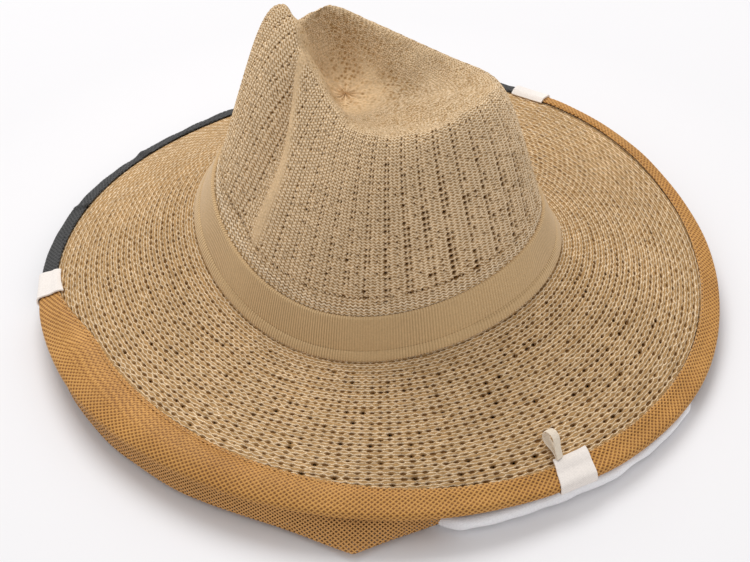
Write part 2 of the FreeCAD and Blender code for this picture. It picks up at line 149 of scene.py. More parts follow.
def oval_radius(oval, angle, grow=0.0):
    x, y, across, along = oval[0], oval[1], oval[2] + grow, oval[3] + grow
    c, s = cosd(angle), sind(angle)
    a = (c / across) ** 2 + (s / along) ** 2
    b = -2 * (c * x / across ** 2 + s * y / along ** 2)
    d = (x / across) ** 2 + (y / along) ** 2 - 1
    return (-b + np.sqrt(b * b - 4 * a * d)) / (2 * a)


def brim_middle(a, r):
    inner = oval_radius(CROWN_BASE, a)
    part = np.maximum(0.0, (r - inner) / (HOOP_RADIUS - inner))
    low = base_height(a) - KNIT / 2
    bow = BRIM_BOW * 4 * part * (1 - np.minimum(part, 1.0))
    return low + (edge_height(a) - low) * part + bow


def brim_top(a, r):
    return brim_middle(a, r) + KNIT / 2


def brim_under(a, r):
    return brim_middle(a, r) - KNIT / 2


def hem_width(a):
    turn = (a + 180.0) % 360.0 - 180.0
    wider = smooth((turn + 62) / 26) * smooth((60 - turn) / 85)
    return 11.5 + 15.0 * wider - 2.5 * bump(a, 155, 35) - 3.0 * bump(a, 239, 62) ** 0.5


def squeezed(points):
    """The springy hoop is pushed in a little; the push fades out toward the crown."""
    r = np.hypot(points[..., 0], points[..., 1])
    a = np.degrees(np.arctan2(points[..., 1], points[..., 0]))
    push = (4.0 * bump(a, 150, 32) + 1.5 * bump(a, 235, 40)) * smooth((r - 130) / 48)
    share = 1 - push / np.maximum(r, 1)
    return points * np.stack([share, share, 1 + 0 * r], -1)


def ridge_point(a):
    count = len(CROWN_RIDGE)
    a = (a + 87.0) % 360.0 - 87.0
    i = np.searchsorted(CROWN_RIDGE[:, 0], a, side="right") - 1

    def control(k):
        return CROWN_RIDGE[k % count, 0] + 360.0 * (k // count), CROWN_RIDGE[k % count, 1:]

    (a0, p0), (a1, p1), (a2, p2), (a3, p3) = (control(i + k) for k in (-1, 0, 1, 2))
    span = a2 - a1
    s1 = (p2 - p0) * (span / (a2 - a0))[..., None]
    s2 = (p3 - p1) * (span / (a3 - a1))[..., None]
    t = ((a - a1) / span)[..., None]
    start = p1 * (2 * t ** 3 - 3 * t ** 2 + 1) + s1 * (t ** 3 - 2 * t ** 2 + t)
    return start + p2 * (3 * t ** 2 - 2 * t ** 3) + s2 * (t ** 3 - t ** 2)


def bezier(p0, p1, p2, p3, t):
    t = t[..., None]
    u = 1 - t
    return p0 * u ** 3 + p1 * (3 * u * u * t) + p2 * (3 * u * t * t) + p3 * t ** 3


def pinch_middle(at_band, at_ridge, rise):
    return at_band + (at_ridge - at_band) * smooth((rise - 0.35) / 0.65)


def pinch_depth(a, rise):
    depth = 0.0
    for at_band, at_ridge, half_width, full in PINCHES:
        depth = depth + full * bump(a, pinch_middle(at_band, at_ridge, rise), half_width)
    inside = np.clip(rise, 0.0, 1.0)
    return depth * np.clip(np.sin(np.pi * inside ** 0.7), 0, 1) ** 0.8


def crown_point(a, row):
    """Outer face: row -1 at the base, 0 at the band's top, 1 on the ridge, 2 in the dent."""
    a, row = np.broadcast_arrays(a, row)
    base = polar(oval_radius(CROWN_BASE, a), a, base_height(a))
    top = polar(oval_radius(BAND_TOP, a), a, base_height(a) + BAND_HEIGHT)
    ridge = ridge_point(a) + np.array([0, 0, EDGE_LEVEL])
    x, y = ridge[..., 0], ridge[..., 1]
    inward = np.stack([np.clip(x * 0.15, -6, 6) - x, np.clip(y * 0.72, -36, 44) - y, 0 * x], -1)
    inward /= np.linalg.norm(inward, axis=-1, keepdims=True)
    shoulder = ridge - inward * (9.0 + 5.0 * bump(a, -82, 32)[..., None])
    wall = top + (base - top) * np.clip(-row, 0, 1)[..., None]
    rise = np.clip(row, 0, 1)
    side = bezier(top, (top + shoulder) / 2, shoulder, ridge, rise)
    side = side - polar(pinch_depth(a, rise), a, 0 * a)
    start = DENT_CENTRE + polar(3.0, a, 0 * a)
    level = np.stack([x, y, 0 * x + DENT_CENTRE[2]], -1)
    steep = bump(a, 245, 55)[..., None]
    floor = DENT_CENTRE + (level - DENT_CENTRE) * (0.42 + 0.40 * steep)
    dent = bezier(ridge, ridge + inward * (9.0 - 3.0 * steep), floor, start, np.clip(row - 1, 0, 1))
    close = np.clip(3 - row, 0.01, 1)[..., None]
    dent = np.where(row[..., None] > 2, DENT_CENTRE + (start - DENT_CENTRE) * close, dent)
    low = (row <= 0)[..., None]
    return np.where(low, wall, np.where((row <= 1)[..., None], side, dent))


# ---- meshes from grids of points ----
def unit(v):
    return v / np.maximum(np.linalg.norm(v, axis=-1, keepdims=True), 1e-9)


def tangents(points, ring):
    """Unit vectors along the columns' way and the rows' way, and the normal."""
    along = np.gradient(points, axis=1)
    if ring:
        along[:, 0] = along[:, -1] = points[:, 1] - points[:, -2]
    across = np.gradient(points, axis=0)
    return unit(along), unit(across), unit(np.cross(along, across))


def fill_floats(mesh, name, values):
    """Keep one number for each vertex, for the materials."""
    mesh.attributes.new(name, "FLOAT", "POINT")
    mesh.attributes[name].data.foreach_set("value", values.astype(np.float32))


def add_object(name, data):
    thing = bpy.data.objects.new(name, data)
    bpy.context.collection.objects.link(thing)
    return thing


def put(name, node, points, uv, tone, material, body="hat", keep=None, normals=None, lace=None):
    """A piece from a grid of points in millimetres; keep says which of its faces stay."""
    rows, cols = points.shape[:2]
    tone = np.broadcast_to(tone, (rows, cols))
    index = np.arange(rows * cols).reshape(rows, cols)
    quads = np.stack([index[:-1, :-1], index[:-1, 1:], index[1:, 1:], index[1:, :-1]], -1)
    quads = quads.reshape(-1, 4) if keep is None else quads[keep]
    used, quads = np.unique(quads, return_inverse=True)
    quads = quads.reshape(-1, 4)
    co = ((squeezed(points.reshape(-1, 3)[used]) + HOOP_TO_ROW) * MM).astype(np.float32)
    mesh = bpy.data.meshes.new(name)
    mesh.vertices.add(len(co))
    mesh.vertices.foreach_set("co", co.ravel())
    mesh.loops.add(quads.size)
    mesh.loops.foreach_set("vertex_index", quads.ravel().astype(np.int32))
    mesh.polygons.add(len(quads))
    mesh.polygons.foreach_set("loop_start", np.arange(0, quads.size, 4, dtype=np.int32))
    mesh.shade_smooth()
    layer = mesh.uv_layers.new(name="UVMap")
    flat = uv.reshape(-1, 2)[used][quads.ravel()].astype(np.float32)
    layer.data.foreach_set("uv", flat.ravel())
    fill_floats(mesh, "tone", tone.reshape(-1)[used])
    if lace is not None:
        fill_floats(mesh, "lace", lace.reshape(-1)[used])
    mesh.update()
    mesh.validate()
    if normals is not None:
        mesh.normals_split_custom_set_from_vertices(normals.reshape(-1, 3)[used])
    piece = add_object(name, mesh)
    mesh.materials.append(material)
    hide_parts(node)
    if body:
        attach(piece, body)
    return piece


def lengths(points, axis):
    """Distance run along one axis of a grid of points."""
    step = np.linalg.norm(np.diff(points, axis=axis), axis=-1)
    start = np.zeros_like(np.take(step, [0], axis=axis))
    return np.concatenate([start, np.cumsum(step, axis=axis)], axis=axis)


def cloth_uv(a, radius, run):
    """Metres round the hat and along the cloth."""
    return np.stack(np.broadcast_arrays(np.radians(a) * radius, run), -1) * MM


def stitch_uv(u, v):
    return np.stack(np.broadcast_arrays(u * STITCH_UV, v * STITCH_UV), -1)


def sectors(columns):
    """Column ranges between the tabs; columns start at the front left tab's angle."""
    starts = [round((a - LEFT) / 360.0 * (columns - 1)) for a in TABS.values()]
    return zip(starts, starts[1:] + [columns - 1])


def put_sectors(part, points, uv, tone, material, keep, lace=None):
    """A knitted part in three pieces, parted under the tabs, which share their normals."""
    normals = tangents(points, True)[2]
    for side, (start, end) in zip(("left", "back", "front"), sectors(points.shape[1])):
        cut = slice(start, end + 1)
        put(part + "_knit_" + side, "knit_" + part, points[:, cut], uv[:, cut], tone[:, cut], material,
            keep=keep[:, start:end], normals=normals[:, cut],
            lace=None if lace is None else lace[:, cut])


# ---- materials ----
class Shader:
    """Short names for building one material's nodes."""

    def __init__(self, name, roughness, sheen=0.0, specular=0.3):
        self.material = bpy.data.materials.new(name)
        self.material.use_nodes = True
        self.tree = self.material.node_tree
        self.surface = self.tree.nodes["Principled BSDF"]
        self.give("Roughness", roughness)
        self.give("Sheen Weight", sheen)
        self.give("Specular IOR Level", specular)

    def set(self, socket, value):
        if isinstance(value, bpy.types.NodeSocket):
            self.tree.links.new(value, socket)
        else:
            socket.default_value = value

    def give(self, key, value):
        self.set(self.surface.inputs[key], value)

    def node(self, kind, output=0, settings=(), **inputs):
        node = self.tree.nodes.new(kind)
        for key, value in settings:
            setattr(node, key, value)
        for key, value in inputs.items():
            key = int(key[1:]) if key[0] == "_" else key
            self.set(node.inputs[key], value)
        return node.outputs[output]

    def math(self, operation, a, b=0.0):
        return self.node("ShaderNodeMath", settings=[("operation", operation)], _0=a, _1=b)

    def times(self, a, b):
        return self.math("MULTIPLY", a, b)

    def plus(self, a, b):
        return self.math("ADD", a, b)

    def minus(self, a, b):
        return self.math("SUBTRACT", a, b)

    def uv(self):
        return self.node("ShaderNodeUVMap", settings=[("uv_map", "UVMap")])

    def place(self):
        return self.node("ShaderNodeTexCoord", output="Object")

    def noise(self, where, scale, detail=2.0, rough=0.5):
        return self.node("ShaderNodeTexNoise", output="Fac", Vector=where, Scale=scale,
                         Detail=detail, Roughness=rough)

    def attribute(self, name):
        return self.node("ShaderNodeAttribute", output="Fac", settings=[("attribute_name", name)])

    def split(self, vector):
        """X and Y of a vector."""
        return self.node("ShaderNodeSeparateXYZ", Vector=vector).node.outputs[:2]

    def stitches(self):
        """Stitch and round counts from the UV map."""
        return [self.times(part, 1 / STITCH_UV) for part in self.split(self.uv())]

    def wave(self, turns, kind="COSINE"):
        """0 to 1 and back once in each turn."""
        swing = self.math(kind, self.times(turns, TAU))
        return self.range(swing, -1.0, 1.0)

    def ramp(self, factor, stops):
        node = self.tree.nodes.new("ShaderNodeValToRGB")
        elements = node.color_ramp.elements
        while len(elements) < len(stops):
            elements.new(0.5)
        for element, (at, colour) in zip(elements, stops):
            element.position = at
            element.color = (*colour, 1.0)
        self.set(node.inputs[0], factor)
        return node.outputs[0]

    def mix(self, factor, a, b, kind="MIX"):
        settings = [("data_type", "RGBA"), ("blend_type", kind)]
        return self.node("ShaderNodeMix", 2, settings, _0=factor, _6=a, _7=b)

    def scaled(self, colour, by):
        """A colour made lighter or darker."""
        grey = self.node("ShaderNodeCombineColor", _0=by, _1=by, _2=by)
        return self.mix(1.0, colour, grey, "MULTIPLY")

    def range(self, value, low, high, to_low=0.0, to_high=1.0):
        return self.node("ShaderNodeMapRange", Value=value, _1=low, _2=high, _3=to_low, _4=to_high)

    def colour(self, value):
        self.give("Base Color", value)

    def relief(self, height, distance, strength=1.0):
        bumped = self.node("ShaderNodeBump", Height=height, Distance=distance, Strength=strength)
        self.give("Normal", bumped)

    def varied(self, colour, where, patches, amount, fine=900.0, fine_amount=0.12):
        """Colour with broad patches, as of uneven dye and handling, and fibre-sized specks."""
        broad = self.range(self.noise(where, patches, 3.0), 0.3, 0.7, 1 - amount, 1 + amount)
        speck = self.range(self.noise(where, fine, 2.0), 0.3, 0.7, 1 - fine_amount, 1 + fine_amount)
        return self.scaled(colour, self.times(broad, speck))


# Painted shade: the yarn ramp's low end is the shade in the gaps between strands.
YARN = [(0.0, (0.42, 0.25, 0.105)), (0.45, (0.65, 0.45, 0.248)), (1.0, (0.95, 0.765, 0.54))]
# Painted shade: the dark brown inside the holes.
HOLE_SHADE = (0.22, 0.105, 0.032, 1.0)


def knit_finish(s, light, where):
    """Yarn colour from light and dark strands, painted brown shade inside and round the holes, and fibre
    relief.
    """
    yarn = s.ramp(light, YARN)
    shade = s.attribute("tone")
    # Painted shade: where the tone is low, round the holes and in the knit's low places, the colour turns
    # dark brown and the yarn is darkened; the tone's random part is the yarn's own.
    colour = s.mix(s.range(shade, 0.10, 0.45), HOLE_SHADE, yarn)
    yarn_tone_and_shade = s.range(shade, 0.4, 1.0, 0.86, 1.10)
    fibre = s.noise(where, 1500.0, 3.0)
    s.relief(s.plus(s.times(light, 1.6), fibre), 0.00030, 0.9)
    return s.varied(s.scaled(colour, yarn_tone_and_shade), where, 20.0, 0.07, 750.0, 0.13)


def brim_knit_material():
    """Two strands to a round, bent apart by the holes, with thin gaps between them painted dark as shade."""
    s = Shader("knit_brim", roughness=0.9, specular=0.05)
    where = s.place()
    u, v = s.stitches()
    loose = s.range(s.noise(where, 330.0, 2.0), 0.3, 0.7, -0.09, 0.09)
    from_row = s.math("ABSOLUTE", s.minus(s.math("FRACT", v), 0.5))
    middle = s.plus(s.range(s.wave(u), 0.0, 1.0, 0.31, 0.19), loose)
    off = s.math("ABSOLUTE", s.minus(from_row, middle))
    strand = s.range(off, 0.02, 0.15, 1.0, 0.0)
    plies = s.wave(s.plus(s.times(u, 4.0), s.times(v, 1.5)), "SINE")
    # Painted shade: off the strands, in the gaps, the colour is dark.
    light = s.times(strand, s.range(plies, 0.0, 1.0, 0.72, 1.0))
    s.colour(knit_finish(s, light, where))
    return s.material


def crown_knit_material():
    """Wavy strands lying close together, the gaps between them painted dark as shade; dark specks, painted
    shade of tiny holes, in rows where the knitting is finer.
    """
    s = Shader("knit_crown", roughness=0.9, specular=0.05)
    where = s.place()
    u, v = s.stitches()
    across = s.times(u, 4.0)
    dent = s.range(v, 0.0, 1.5)
    loose = s.range(s.noise(where, 260.0, 2.0), 0.3, 0.7, -0.22, 0.22)
    loose = s.times(loose, s.plus(1.0, s.times(dent, 2.0)))
    swing = s.times(s.math("SINE", s.times(across, TAU)), 0.23)
    strand = s.wave(s.plus(s.plus(s.times(v, 2.0), swing), loose))
    knot = s.range(s.wave(s.plus(across, loose)), 0.0, 1.0, 0.40, 1.0)
    # Painted shade: the gaps between the strands are darkened.
    gap = s.times(s.minus(1.0, strand), knot)
    light = s.plus(0.52, s.times(s.attribute("lace"), s.minus(0.36, s.times(gap, 1.1))))
    # Painted shade of the finer knitting's tiny holes: dark specks in rows, in the dent only.
    cell = s.node("ShaderNodeTexVoronoi", Vector=where, Scale=430.0, Randomness=0.6)
    rows = s.range(s.noise(where, 55.0, 2.0), 0.40, 0.60, 0.10, 1.0)
    speck = s.times(s.range(cell, 0.50, 0.15, 0.0, 0.6), s.times(rows, dent))
    s.colour(knit_finish(s, s.minus(light, speck), where))
    return s.material


def rib_material():
    s = Shader("hatband", roughness=0.7, sheen=0.2)
    uv = s.uv()
    where = s.place()
    colour = s.ramp(s.attribute("tone"), [(0.0, (0.20, 0.115, 0.045)), (0.5, (0.52, 0.345, 0.165)),
                               (1.0, (0.70, 0.49, 0.26))])
    s.colour(s.varied(colour, where, 14.0, 0.06, 1100.0, 0.08))
    ribs = s.node("ShaderNodeTexWave", output="Fac", Vector=uv, Scale=1000 / 1.4 / 20 * 6.2832,
                  Distortion=0.6, Detail=1.0)
    fibre = s.noise(where, 1600.0, 2.0)
    s.relief(s.plus(ribs, s.times(fibre, 0.7)), 0.00012, 0.7)
    return s.material


def netting_colour(s, uv, wide, high):
    """Diamond net in a plane of metres: 1 on the threads, falling to 0 in the holes."""
    across, along = s.split(uv)
    x, y = s.math("DIVIDE", across, wide), s.math("DIVIDE", along, high)
    lines = []
    for turn in (s.plus(x, y), s.minus(x, y)):
        lines.append(s.math("ABSOLUTE", s.minus(s.math("FRACT", turn), 0.5)))
    return s.math("MAXIMUM", *lines)


def hem_material(name, stops, shine=0.0):
    s = Shader(name, roughness=0.62, sheen=0.1, specular=0.35 + shine)
    where = s.place()
    s.colour(s.varied(s.ramp(s.attribute("tone"), stops), where, 30.0, 0.07, 900.0, 0.1))
    s.relief(s.noise(where, 1400.0, 3.0), 0.00015, 0.6)
    return s.material


def veil_material(name, thread, shadow, wide=0.0026, high=0.0022):
    s = Shader(name, roughness=0.65, sheen=0.1)
    uv = s.uv()
    net = netting_colour(s, uv, wide, high)
    body = s.ramp(s.range(net, 0.22, 0.46), [(0.0, shadow), (1.0, thread)])
    s.colour(s.varied(body, uv, 30.0, 0.08, 900.0, 0.1))
    s.give("Alpha", s.range(net, 0.22, 0.30, 0.12, 1.0))
    s.relief(net, 0.0004, 0.7)
    return s.material


def woven_material(name, light, dark, pitch, depth=0.00012, patches=25.0):
    """Plain weave: two crossing sets of threads at one pitch in metres."""
    s = Shader(name, roughness=0.8, sheen=0.15)
    waves = [s.math("SINE", s.times(part, TAU / pitch)) for part in s.split(s.uv())]
    weave = s.range(s.times(*waves), -1.0, 1.0)
    colour = s.ramp(weave, [(0.0, dark), (0.6, light), (1.0, light)])
    s.colour(s.varied(colour, s.place(), patches, 0.04, 1000.0, 0.05))
    s.relief(s.plus(weave, s.noise(s.place(), 1500.0, 2.0)), depth, 0.8)
    return s.material


def metal_material(name, colour, rough):
    s = Shader(name, roughness=rough, specular=0.5)
    s.give("Metallic", 1.0)
    scratches = s.noise(s.place(), 900.0, 4.0)
    dark = tuple(c * 0.7 for c in colour)
    s.colour(s.ramp(scratches, [(0.3, dark), (0.7, colour)]))
    s.relief(scratches, 0.00005, 0.4)
    return s.material


def thread_material(name, colour):
    s = Shader(name, roughness=0.6, sheen=0.2)
    where = s.place()
    s.colour(s.varied((*colour, 1.0), where, 60.0, 0.08, 1500.0, 0.2))
    s.relief(s.noise(where, 2500.0, 2.0), 0.0001, 0.7)
    return s.material


brim_yarn = brim_knit_material()
crown_yarn = crown_knit_material()
band_material = rib_material()
# The nets' ramps start from the painted shade in their holes.
OCHRE_NET = [(0.0, (0.15, 0.052, 0.007)), (0.45, (0.34, 0.14, 0.024)),
             (0.8, (0.56, 0.275, 0.062)), (1.0, (0.66, 0.35, 0.095))]
BLACK_NET = [(0.0, (0.003, 0.003, 0.003)), (0.5, (0.012, 0.012, 0.012)), (1.0, (0.034, 0.034, 0.034))]
tan_hem = hem_material("tan_netting", OCHRE_NET)
black_hem = hem_material("black_netting", BLACK_NET, shine=0.15)
tan_veil = veil_material("tan_veil", (0.64, 0.335, 0.105), (0.34, 0.145, 0.036))
black_veil = veil_material("black_veil", (0.06, 0.06, 0.064), (0.012, 0.012, 0.013))
canvas = woven_material("canvas", (0.88, 0.82, 0.765), (0.78, 0.71, 0.65), 0.0011, depth=0.00006)
cotton = woven_material("cotton", (0.93, 0.925, 0.94), (0.84, 0.83, 0.85), 0.0009, patches=40.0)
ribbon = woven_material("ribbon", (0.86, 0.76, 0.62), (0.68, 0.56, 0.42), 0.0007)
tape = woven_material("sweatband", (0.62, 0.52, 0.36), (0.46, 0.37, 0.24), 0.0012)
elastic = woven_material("elastic", (0.80, 0.80, 0.78), (0.60, 0.60, 0.58), 0.0013)
wire = metal_material("wire", (0.52, 0.52, 0.53), 0.32)
sleeve = metal_material("ferrule", (0.60, 0.60, 0.60), 0.38)
tan_thread = thread_material("thread", (0.58, 0.33, 0.12))
black_thread = thread_material("black_thread", (0.02, 0.02, 0.021))


# ---- knitted brim ----
# The holes' size goes up and down over four rounds; HOLE_EDGE makes the cut-out smaller
# than the hollow round it.
HOLE_SIZES = np.array([1.0, 0.78, 0.92, 0.72])
HOLE_EDGE = 1.35


def snapped(points, along, across, du, dv, d):
    """Move the points just inside a hole's outline out on to it."""
    push = np.where((d < 1) & (d > 0.2), 1 / np.maximum(d, 0.2) - 1, 0.0)[..., None]
    return points + along * du[..., None] * push + across * dv[..., None] * push


def open_faces(*fields):
    """Faces that stay: not those with all four corners inside a hole."""
    stay = True
    for d in fields:
        inside = d < 1
        gone = inside[:-1, :-1] & inside[:-1, 1:] & inside[1:, 1:] & inside[1:, :-1]
        stay = stay & ~gone
    return stay


def make_brim():
    stitches, rounds, per_u, per_v = BRIM_STITCHES, BRIM_ROUNDS, 8, 6
    u = np.linspace(0, stitches, stitches * per_u + 1)[None, :]
    v = np.linspace(0, rounds, rounds * per_v + 1)[:, None]
    a = LEFT + 360.0 * u / stitches
    inner = oval_radius(CROWN_BASE, a) - 1.5
    pitch_v = (BRIM_END - inner) / rounds
    r = BRIM_END - pitch_v * v
    pitch_u = TAU * r / stitches
    points = polar(r, a, brim_top(a, r) - 0.55)
    along, across, normal = tangents(points, True)

    row = np.clip(np.floor(v), 0, rounds - 1).astype(int)
    column = np.floor(u).astype(int) % stitches
    spread = random.normal(1.0, 0.28, (rounds, stitches))
    size = np.clip(spread, 0.35, 1.6)[row, column] * HOLE_SIZES[row % len(HOLE_SIZES)]
    size = size * (0.62 + 0.38 * bump(a, 50, 125))
    off_u = random.normal(0, 0.05, (rounds, stitches))[row, column]
    off_v = random.normal(0, 0.05, (rounds, stitches))[row, column]
    du = (u % 1.0 - 0.5 - off_u) * pitch_u
    dv = (v - row - 0.5 - off_v) * pitch_v
    near_edge = smooth((v - 1) / 2) * smooth((rounds - 2.5 - v) / 2)
    semi_u = 0.225 * pitch_u * size ** 0.7
    semi_v = 0.185 * pitch_v * size * (0.35 + 0.65 * near_edge)
    d = (np.abs(du / semi_u) ** 1.7 + np.abs(dv / semi_v) ** 1.7) ** (1 / 1.7)

    between = wave(u)
    bend = 0.06 * np.cos(TAU * 2 * u) + 0.05 * np.cos(TAU * (3 * u + 0.5 * v))
    crossing = wave(2 * v + 3 * bend + 0.5 * np.abs(np.sin(np.pi * u)))
    band = mixed(wave(v + bend), crossing, 0.75 * between)
    dot_u = ((u + 0.5) % 1.0 - 0.5) * pitch_u
    dot = np.exp(-(dot_u / 0.6) ** 2 - ((v % 1.0 - 0.5 - 2 * off_v) * pitch_v / 0.42) ** 2)
    dot = dot * (random.random((rounds, stitches)) < 0.6)[row, column]
    funnel = smooth((1.75 - d) / 0.8)
    height = mixed(0.12 + 0.55 * band ** 0.8 - 0.3 * dot, -0.6, funnel)
    yarn = random.normal(0, 0.10, (rounds + 1, stitches))[np.round(v).astype(int), column]
    # Painted shade: the tone darkens in the small dimples and down each hole's funnel, over the yarn's
    # random tone.
    tone = np.clip((0.84 + yarn - 0.45 * dot) * (1 - 0.95 * funnel), 0, 1)
    d = d * HOLE_EDGE
    points = snapped(points + normal * height[..., None], along, across, du, dv, d)
    keep = open_faces(d)
    put_sectors("brim", points, stitch_uv(u, v), tone, brim_yarn, keep)


# ---- knitted crown ----
# Place in the repeat, half width, half height and how often such a hole is there.
LACE_HOLES = [(0.03, 0.80, 0.62, 0.9), (0.23, 0.58, 0.46, 0.6), (0.62, 0.50, 0.42, 0.4)]
EYELET_ROW, EYELET_SIZE = 5.4, 0.38


def softened(points):
    """Each point moved halfway to its neighbours round the ring."""
    ring = points[:, :-1]
    beside = (np.roll(ring, 1, 1) + np.roll(ring, -1, 1)) / 2
    return (points + np.concatenate([beside, beside[:, :1]], 1)) / 2


def make_crown():
    repeats, rounds, per_u, per_v, dent_rows = CROWN_REPEATS, CROWN_ROUNDS, 20, 7, 64
    columns = repeats * per_u + 1
    a = LEFT + np.linspace(0, 360.0, columns)[None, :]
    samples = np.linspace(-0.3, 1.0, 160)[:, None]
    run = lengths(crown_point(a, samples), 0)
    wall_rows = rounds * per_v + 1
    wanted = np.linspace(0, 1, wall_rows)
    rows = np.stack([np.interp(wanted * run[-1, k], run[:, k], samples[:, 0])
                     for k in range(columns)], 1)
    inner = np.append(1 + np.linspace(0, 1, dent_rows + 1)[1:] ** 0.85, [2.3, 2.6, 2.8, 2.95, 3.0])
    rows = np.concatenate([rows, np.broadcast_to(inner[:, None], (len(inner), columns))])
    v = np.linspace(0, rounds, wall_rows)
    v = np.concatenate([v, rounds + np.arange(1, len(inner) + 1) * 0.26])[:, None]
    points = softened(crown_point(a, rows))
    along, across, normal = tangents(points, True)
    points = points - normal * 0.45

    cell = np.linspace(0, repeats, columns)[None, :]
    u = cell % 1.0
    pitch_u = np.linalg.norm(np.gradient(points, axis=1), axis=-1) * per_u
    pitch_v = run[-1][None, :] / rounds
    in_wall = smooth(rounds + 0.3 - v)

    plait = (u - 0.30) / 0.25
    inside_plait = np.clip(1 - plait ** 4, 0, 1)
    arc = wave(v - 0.42 * (1 - plait ** 2))
    zig = wave(2 * v + 0.22 * np.sin(TAU * (u - 0.55) * 4))
    height = mixed(0.12 + 0.34 * zig, 0.62 * arc ** 0.8, inside_plait)
    # Painted shade: here and in the tight rows below, the tone follows the relief, lighter on the raised
    # yarn and darker in its low places.
    tone = mixed(0.60 + 0.18 * zig, 0.62 + 0.25 * arc, inside_plait)

    snug = smooth((4.8 - v) / 0.8) * (v <= 6)
    tight = wave(1.5 * v + 0.10 * np.sin(TAU * cell * 4))
    height = mixed(height, 0.5 * tight, snug)
    tone = mixed(tone, 0.45 + 0.4 * tight, snug)

    middle = pinch_middle(*PINCHES[1][:2], np.clip(rows, 0, 1))
    crease = bump(a, middle, 3.4) * smooth((rows - 0.02) / 0.15) * (rows < 1.02)
    crease = np.clip(crease * 1.25, 0, 1)
    flat = 1 - 0.92 * crease

    x, y = points[..., 0], points[..., 1]
    out = np.hypot(x - DENT_CENTRE[0], y - DENT_CENTRE[1])
    turn = np.arctan2(y - DENT_CENTRE[1], x - DENT_CENTRE[0])
    fine = np.cos(TAU * x / 2.7 + 1.3 * np.cos(TAU * y / 5.1))
    fine = 0.5 + 0.5 * fine * np.cos(TAU * y / 2.3 + 1.1 * np.sin(TAU * x / 6.3))
    star = peak(out, 0, 13) * wave((turn * 11 + 0.8 * np.sin(turn * 3)) / (TAU))
    calm = smooth((out - 6) / 16)
    knitted = smooth((out - 12) / 22)
    lumps = 1.1 * np.sin(x / 5.3 + 1.6 * np.sin(y / 7.1)) * np.sin(y / 6.1 + 1.2 * np.sin(x / 8.3)) * calm
    dent_height = 0.30 * fine * calm + 0.16 * zig * knitted + 1.2 * star + lumps
    # Painted shade and light: the dent's tone follows its relief too, with the star's pleats painted lighter
    # on their crests and darker between them.
    dent_tone = 0.52 + 0.16 * (fine - 0.5) * (0.35 + calm) + 0.16 * (zig - 0.5) * knitted + 0.45 * star

    height = mixed(dent_height, height, in_wall) * flat + 0.45 * crease
    # Painted light: the crease gets an even, lighter tone along the fold's edge.
    tone = mixed(0.80, mixed(dent_tone, tone, in_wall), flat)

    holes = []
    moved = points + normal * height[..., None]
    strength = in_wall * (1 - crease)
    lacy = 0.48 + 0.38 * bump(a, 66, 48) * smooth((1.0 - v / rounds) / 0.6)
    row = np.clip(np.floor(v), 0, rounds + 3).astype(int)
    narrow = np.clip(pitch_u / 10.0, 0.3, 1.1)
    dv = (v % 1.0 - 0.5) * pitch_v
    for at, half_width, half_height, chance in LACE_HOLES:
        shift = cell - at + 0.5
        column = np.floor(shift).astype(int) % repeats
        there = (random.random((rounds + 4, repeats)) < chance)[row, column]
        size = np.clip(random.normal(1, 0.25, (rounds + 4, repeats)), 0.45, 1.5)[row, column] * lacy
        du = (shift % 1.0 - 0.5) * pitch_u
        wide, high = half_width * size * narrow, half_height * size
        open_here = there & (strength > 0.6) & (snug < 0.3) & (v < rounds - 0.4)
        d = np.hypot(du / wide, dv / high) + np.where(open_here, 0.0, 9.0)
        funnel = smooth((1.9 - d) / 0.9)
        moved = moved - normal * (funnel * (height + 0.8))[..., None]
        # Painted shade: the tone darkens down each hole's funnel.
        tone = tone * (1 - 0.88 * funnel)
        holes.append(d * HOLE_EDGE)
        moved = snapped(moved, along, across, du, dv, holes[-1])
    eyelets = repeats * 4
    shift = cell * 4
    du = (shift % 1.0 - 0.5) * pitch_u / 4
    dv = (v - EYELET_ROW) * pitch_v
    size = np.clip(random.normal(1, 0.25, eyelets), 0.4, 1.4)[np.floor(shift).astype(int) % eyelets]
    d = np.hypot(du, dv) / (EYELET_SIZE * size)
    funnel = smooth(2.0 - d)
    moved = moved - normal * (funnel * (height + 0.6))[..., None]
    # Painted shade: the tone darkens down each eyelet's funnel.
    tone = tone * (1 - 0.88 * funnel)
    holes.append(d)

    loose = random.normal(0, 0.05, (rounds + 12, repeats * 2))
    row = np.clip(np.floor(v), 0, rounds + 11).astype(int)
    tone = np.clip(tone + loose[row, np.floor(cell * 2).astype(int) % (repeats * 2)] * in_wall, 0, 1)
    keep = open_faces(*holes)
    lace = mixed(0.72 * knitted, 1, in_wall) * (1 - 0.85 * crease) * (1 + 0.4 * snug)
    put_sectors("crown", moved, stitch_uv(cell, v - rounds), tone, crown_yarn, keep, lace)


# ---- hatband and sweatband ----
def spline_rows(controls, per_span):
    """Smooth rows through control rows, each an array of points round the hat."""
    controls = np.stack(controls)
    padded = np.concatenate([2 * controls[:1] - controls[1:2], controls,
                             2 * controls[-1:] - controls[-2:-1]])
    rows = []
    for k in range(len(controls) - 1):
        p0, p1, p2, p3 = padded[k:k + 4]
        for t in np.arange(per_span) / per_span:
            rows.append(0.5 * (2 * p1 + (p2 - p0) * t + (2 * p0 - 5 * p1 + 4 * p2 - p3) * t ** 2
                               + (3 * p1 - 3 * p2 + p3 - p0) * t ** 3))
    rows.append(controls[-1])
    return np.stack(rows)


def cloth_points(a, outline, per_span):
    """A grid from radii and heights across the cloth, which may vary round the hat."""
    return from_polar(spline_rows([rows_of(r, a, z) for r, z in outline], per_span))


def ripple(a, seed, turns, size):
    """A slow uneven wave round the hat: a few sine waves with seeded phases."""
    draws = np.random.default_rng(seed)
    total = 0.0
    for n in turns:
        total = total + np.sin(np.radians(n * a) + draws.uniform(0, 6.28)) * draws.uniform(0.6, 1.0)
    return size * total / math.sqrt(len(turns))


def wall_point(a, up, out):
    part = up / BAND_HEIGHT
    low, high = oval_radius(CROWN_BASE, a, out), oval_radius(BAND_TOP, a, out)
    return polar(low + (high - low) * part, a, base_height(a) + up)


